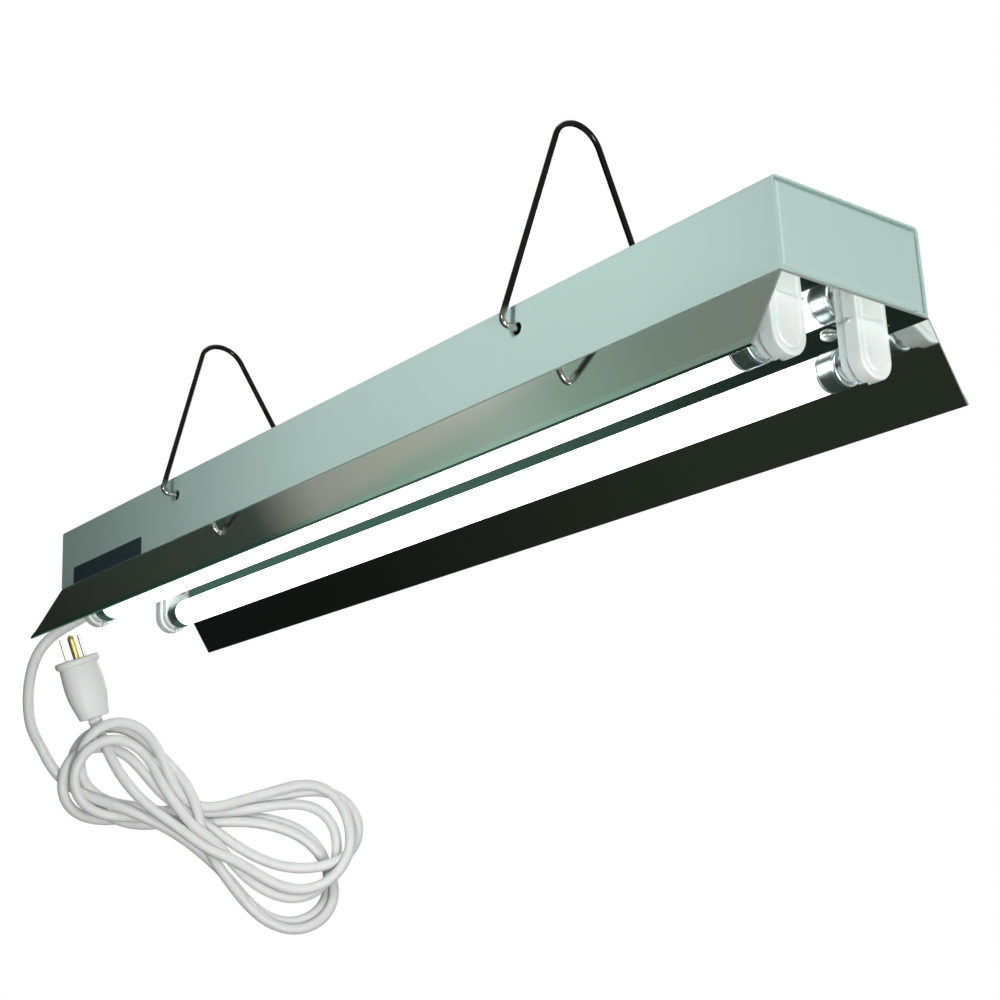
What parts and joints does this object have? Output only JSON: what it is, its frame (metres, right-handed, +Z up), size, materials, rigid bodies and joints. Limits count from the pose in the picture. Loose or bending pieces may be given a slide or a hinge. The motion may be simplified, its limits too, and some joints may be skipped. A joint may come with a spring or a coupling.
{
  "type": "grow lamp",
  "caption": "Hanging strip grow light: steel box housing over a mirrored reflector, tubular lamps in rotary holders, V-shaped wire hangers and a plugged cord.",
  "frame": {"origin": "centre of the housing's flat top face, between the hangers", "axes": "+X along the lamps, away from the cord end; +Z up; +Y away from the label side"},
  "size_m": [0.7301, 0.2749, 0.359],
  "materials": {
    "housing_paint": "satin pale grey-green powder coat",
    "reflector_mirror": "mirror-polished aluminium",
    "zinc_steel": "bright zinc plate",
    "holder_plastic": "moulded white, slightly translucent",
    "lamp_cap": "drawn aluminium, bright",
    "brass": "bright",
    "lamp_glass": "phosphor-coated glass, lit",
    "ballast_paint": "gloss white",
    "circuit_board": "solder mask",
    "wire_blue": "vinyl",
    "wire_red": "vinyl",
    "wire_black": "vinyl",
    "wire_white": "vinyl",
    "wire_green": "vinyl",
    "wire_nut": "moulded",
    "hanger_wire": "dark bright-drawn steel wire",
    "cord_vinyl": "soft white vinyl",
    "label_film": "printed film, left blank"
  },
  "bodies": {
    "fixture": {"housing_channel": "housing_paint", "end_plate_left": "housing_paint", "end_plate_right": "housing_paint", "reflector": "reflector_mirror", "socket_plate_left": "zinc_steel", "socket_plate_right": "zinc_steel", "ballast_base": "zinc_steel", "ballast_post_left": "zinc_steel", "ballast_post_right": "zinc_steel", "ballast_screw_left": "zinc_steel", "ballast_screw_right": "zinc_steel", "plug_blade_left": "zinc_steel", "plug_blade_right": "zinc_steel", "reflector_screw_front_left": "zinc_steel", "reflector_screw_front_right": "zinc_steel", "reflector_screw_rear_left": "zinc_steel", "reflector_screw_rear_right": "zinc_steel", "holder_front_left": "holder_plastic", "holder_front_right": "holder_plastic", "holder_rear_left": "holder_plastic", "holder_rear_right": "holder_plastic", "ballast_case": "ballast_paint", "ballast_board": "circuit_board", "wire_front_left": "wire_blue", "wire_front_right": "wire_blue", "wire_rear_left": "wire_red", "wire_rear_right": "wire_red", "wire_nut_live": "wire_nut", "wire_nut_neutral": "wire_nut", "wire_supply_live": "wire_black", "wire_ballast_live": "wire_black", "wire_supply_neutral": "wire_white", "wire_ballast_neutral": "wire_white", "wire_ground": "wire_green", "ground_screw": "wire_green", "strain_relief": "cord_vinyl", "cord_lead": "cord_vinyl", "cord_hank": "cord_vinyl", "plug_body": "cord_vinyl", "plug_ground_pin": "brass", "label": "label_film"},
    "lamp_front": {"lamp_tube_front": "lamp_glass", "lamp_cap_front_left": "lamp_cap", "lamp_cap_front_right": "lamp_cap", "lamp_pins_front_left": "brass", "lamp_pins_front_right": "brass", "rotor_front_left": "holder_plastic", "rotor_front_right": "holder_plastic"},
    "lamp_rear": {"lamp_tube_rear": "lamp_glass", "lamp_cap_rear_left": "lamp_cap", "lamp_cap_rear_right": "lamp_cap", "lamp_pins_rear_left": "brass", "lamp_pins_rear_right": "brass", "rotor_rear_left": "holder_plastic", "rotor_rear_right": "holder_plastic"},
    "hanger_1": {"hanger_1": "hanger_wire"},
    "hanger_2": {"hanger_2": "hanger_wire"}
  },
  "joints": [
    {"name": "hanger_1_swing", "type": "hinge", "parent": "fixture", "child": "hanger_1", "pos_m": [-0.149, 0, -0.0122], "axis": [0, 1, 0], "range_deg": [-36, 64]},
    {"name": "hanger_2_swing", "type": "hinge", "parent": "fixture", "child": "hanger_2", "pos_m": [0.156, 0, -0.0122], "axis": [0, 1, 0], "range_deg": [-50, 50]},
    {"name": "lamp_front_twist", "type": "hinge", "parent": "fixture", "child": "lamp_front", "pos_m": [0, -0.0255, -0.0534], "axis": [1, 0, 0], "range_deg": [0, 90]},
    {"name": "lamp_rear_twist", "type": "hinge", "parent": "fixture", "child": "lamp_rear", "pos_m": [0, 0.0255, -0.0534], "axis": [1, 0, 0], "range_deg": [0, 90]}
  ]
}
